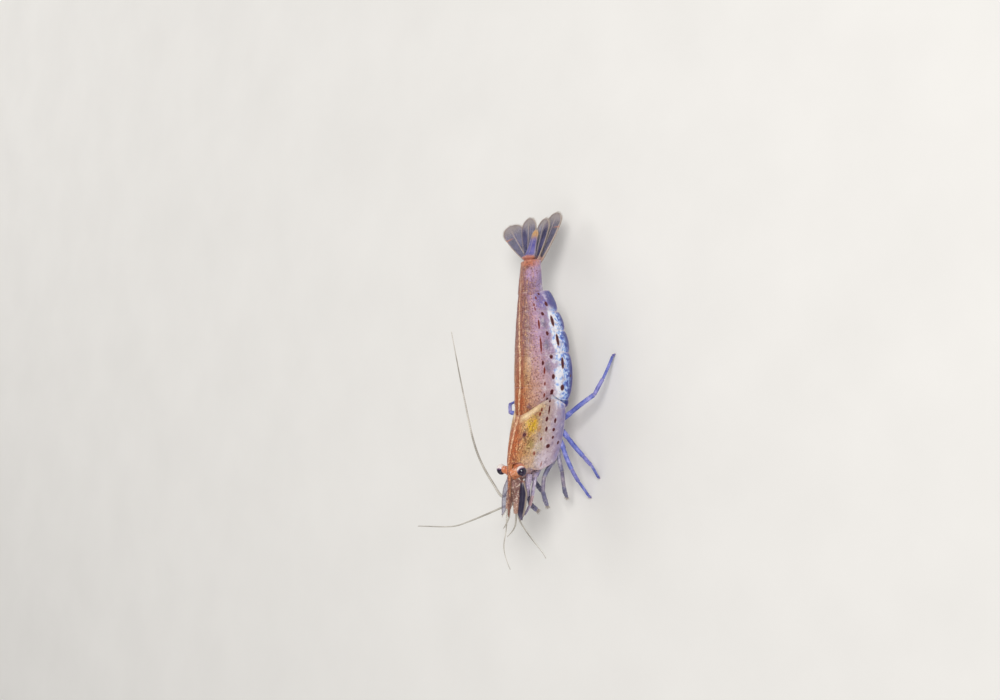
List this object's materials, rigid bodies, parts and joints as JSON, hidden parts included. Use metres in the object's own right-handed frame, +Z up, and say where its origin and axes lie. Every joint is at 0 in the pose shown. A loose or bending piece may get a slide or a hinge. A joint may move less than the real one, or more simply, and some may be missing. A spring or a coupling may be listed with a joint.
{
  "type": "aquarium shrimp",
  "caption": "Slender translucent freshwater shrimp with dotted flanks, a saw-edged beak, long feelers and a spread tail fan, standing on its walking legs.",
  "frame": {"origin": "centre of the bounding box at floor level, under the animal", "axes": "-X the way the head points, -Y the animal's left side, +Z up from the floor"},
  "size_m": [0.0538, 0.0256, 0.0149],
  "materials": {
    "shell": "clear amber cuticle over pinkish flesh, dotted maroon on the flanks",
    "fin": "thin clear cuticle, dusky violet blue with cream ribs",
    "limb": "clear cuticle over pale violet flesh",
    "feeler": "fine ringed cream cuticle",
    "cornea": "polished dark eye with fine facets",
    "underside": "soft pale membrane"
  },
  "bodies": {
    "root": {"antenna_left": "limb", "antenna_right": "limb", "antennule_left": "limb", "antennule_right": "limb", "carapace": "shell", "endopod_left": "fin", "endopod_right": "fin", "exopod_left": "fin", "exopod_right": "fin", "eye_left": "cornea", "eye_right": "cornea", "eyestalk_left": "limb", "eyestalk_right": "limb", "feeler_inner_left": "feeler", "feeler_inner_right": "feeler", "feeler_outer_left": "feeler", "feeler_outer_right": "feeler", "flagellum_left": "feeler", "flagellum_right": "feeler", "head": "underside", "jaw_leg_left": "limb", "jaw_leg_right": "limb", "leg_1_left": "limb", "leg_1_right": "limb", "leg_2_left": "limb", "leg_2_right": "limb", "leg_3_left": "limb", "leg_3_right": "limb", "leg_4_left": "limb", "leg_4_right": "limb", "leg_5_left": "limb", "leg_5_right": "limb", "pleon_1": "shell", "pleon_2": "shell", "pleon_3": "shell", "pleon_4": "shell", "pleon_5": "shell", "pleon_6": "shell", "pleopod_1_left": "limb", "pleopod_1_right": "limb", "pleopod_2_left": "limb", "pleopod_2_right": "limb", "pleopod_3_left": "limb", "pleopod_3_right": "limb", "pleopod_4_left": "limb", "pleopod_4_right": "limb", "pleopod_5_left": "limb", "pleopod_5_right": "limb", "rostrum": "shell", "scale_left": "fin", "scale_right": "fin", "telson": "fin", "thorax": "underside"}
  },
  "joints": []
}
